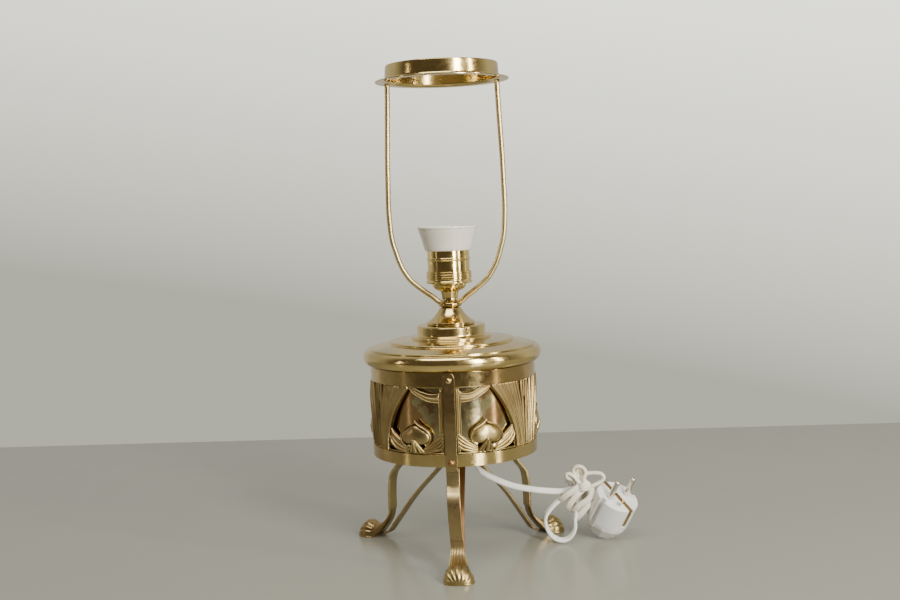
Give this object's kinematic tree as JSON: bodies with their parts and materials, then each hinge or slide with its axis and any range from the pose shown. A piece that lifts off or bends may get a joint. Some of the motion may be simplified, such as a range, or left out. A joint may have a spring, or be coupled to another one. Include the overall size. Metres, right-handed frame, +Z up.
{
  "type": "brass table lamp base",
  "caption": "Pierced brass drum on paw feet with a drop-in font, a lampholder, a harp with shade ring and a mains cord.",
  "frame": {"origin": "on the floor, at the centre of the footprint of the lamp without its cord; the lamp's own axis is 13.9 mm towards +Y of it", "axes": "+Z up along the lamp's axis, -Y towards the front foot and strap, +X towards the cord"},
  "size_m": [0.248, 0.1791, 0.4124],
  "materials": {
    "brass": "aged, semi-polished",
    "spun_brass": "spun, polished and handled",
    "cast_brass": "cast relief with dark patina in the hollows",
    "porcelain": "glazed porcelain",
    "dark_steel": "blackened",
    "cord_white": "soft flat cord, slightly yellowed",
    "plug_white": "moulded, satin",
    "bush_black": "moulded",
    "nickel": "nickel-plated, polished"
  },
  "bodies": {
    "stand": {"base_plate": "brass", "brace_front": "cast_brass", "brace_left": "cast_brass", "brace_right": "cast_brass", "cord_bush": "bush_black", "cord_hank": "cord_white", "cord_lead": "cord_white", "cord_loop": "cord_white", "cord_tail": "cord_white", "foot_front": "cast_brass", "foot_left": "cast_brass", "foot_right": "cast_brass", "frieze_back": "cast_brass", "frieze_left": "cast_brass", "frieze_right": "cast_brass", "leg_front": "cast_brass", "leg_left": "cast_brass", "leg_right": "cast_brass", "leg_rivet_front": "cast_brass", "leg_rivet_left": "cast_brass", "leg_rivet_right": "cast_brass", "lower_band": "brass", "plug_body": "plug_white", "plug_boot": "plug_white", "plug_earth_strip": "brass", "plug_pin_far": "nickel", "plug_pin_near": "nickel", "strap_front": "brass", "strap_left": "brass", "strap_right": "brass", "strap_rivet_front": "brass", "strap_rivet_left": "brass", "strap_rivet_right": "brass", "strap_screw_front": "brass", "strap_screw_left": "brass", "strap_screw_right": "brass", "upper_band": "brass"},
    "font": {"tank_shell": "spun_brass", "lid": "spun_brass", "vase_cap": "spun_brass", "nipple": "brass", "nipple_nut": "brass", "inner_lead": "cord_white", "holder_neck": "brass", "holder_cup": "brass", "holder_nut": "brass", "holder_ring": "brass", "holder_insert": "porcelain", "thread_shell": "brass", "centre_contact": "brass"},
    "harp": {"harp_hub": "brass", "harp_arm_left": "brass", "harp_arm_right": "brass", "shade_ring": "brass"},
    "holder_sleeve": {"holder_shell": "brass", "grub_screw": "dark_steel"},
    "shade_collar": {"porcelain_ring": "porcelain"}
  },
  "joints": [
    {"name": "font_lift", "type": "slide", "parent": "stand", "child": "font", "axis": [0, 0, 1], "range_m": [0, 0.09]},
    {"name": "harp_swivel", "type": "hinge", "parent": "font", "child": "harp", "pos_m": [0, 0.0139, 0.2117], "axis": [0, 0, 1], "range_deg": [-180, 180]},
    {"name": "sleeve_unscrew", "type": "slide", "parent": "font", "child": "holder_sleeve", "axis": [0, 0, 1], "range_m": [0, 0.03]},
    {"name": "collar_unscrew", "type": "slide", "parent": "holder_sleeve", "child": "shade_collar", "axis": [0, 0, 1], "range_m": [0, 0.016]}
  ]
}
